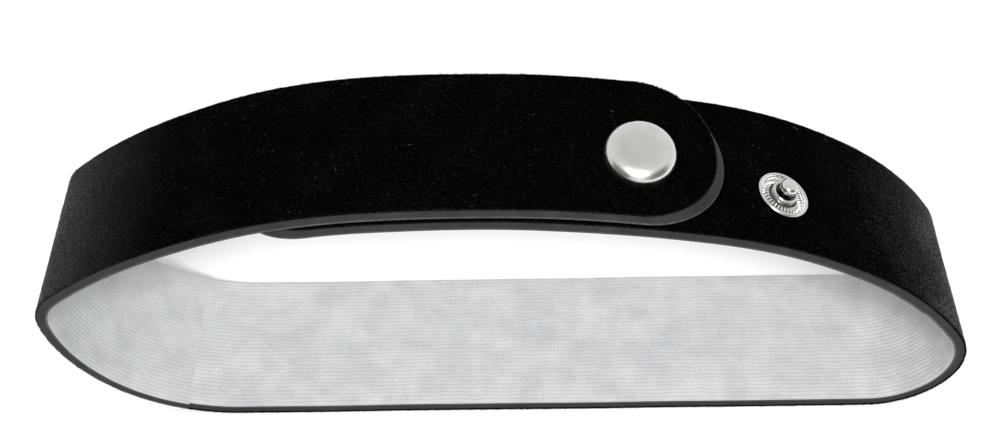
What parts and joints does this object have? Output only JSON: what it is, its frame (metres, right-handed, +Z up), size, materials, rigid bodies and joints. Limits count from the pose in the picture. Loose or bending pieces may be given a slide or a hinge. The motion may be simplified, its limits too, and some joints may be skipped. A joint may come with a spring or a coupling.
{
  "type": "esd wrist strap",
  "caption": "Anti-static wrist strap: a black velvet-faced band lapped and closed by a press stud, with a spare ball stud for the ground lead.",
  "frame": {"origin": "middle of the loop's footprint, on the surface that its back run rests on", "axes": "+X across the loop's width towards the free stud, +Y along the loop's axis across the strap's width, +Z up through the closure"},
  "size_m": [0.11, 0.02, 0.0422],
  "materials": {
    "velvet": "black flocked velvet",
    "foam": "black closed-cell foam, cut edge",
    "lining": "grey conductive knit",
    "nickel": "satin nickel plate",
    "nickel_bright": "bright nickel plate",
    "stainless": "stainless, skin side",
    "spring_wire": "phosphor bronze"
  },
  "bodies": {
    "band": {"band_face": "velvet", "underlap_core": "foam", "underlap_lining": "lining", "band_core": "foam", "band_lining": "lining", "closure_stud_flange": "nickel_bright", "closure_stud_post": "nickel_bright", "closure_contact_plate": "stainless", "free_stud_flange": "nickel_bright", "free_stud_post": "nickel_bright", "free_contact_plate": "stainless"},
    "flap": {"leaf_face": "velvet", "leaf_core": "foam", "leaf_lining": "lining", "snap_cap": "nickel", "cap_rivet": "nickel_bright", "socket": "nickel_bright", "spring_bow_left": "spring_wire", "spring_bow_right": "spring_wire"},
    "front_leg": {"spring_leg_front": "spring_wire"},
    "back_leg": {"spring_leg_back": "spring_wire"}
  },
  "joints": [
    {"name": "flap_open", "type": "hinge", "parent": "band", "child": "flap", "pos_m": [-0.04927, 0, 0.02844], "axis": [0, -1, 0], "range_deg": [0, 75]},
    {"name": "front_leg_spread", "type": "slide", "parent": "flap", "child": "front_leg", "axis": [0, -1, 0], "range_m": [0, 0.0003], "stiffness_N_per_m": 20},
    {"name": "back_leg_spread", "type": "slide", "parent": "flap", "child": "back_leg", "axis": [0, 1, 0], "range_m": [0, 0.0003], "stiffness_N_per_m": 20}
  ],
  "couplings": [
    {"joint": "back_leg_spread", "follows": "front_leg_spread", "ratio": 1}
  ]
}
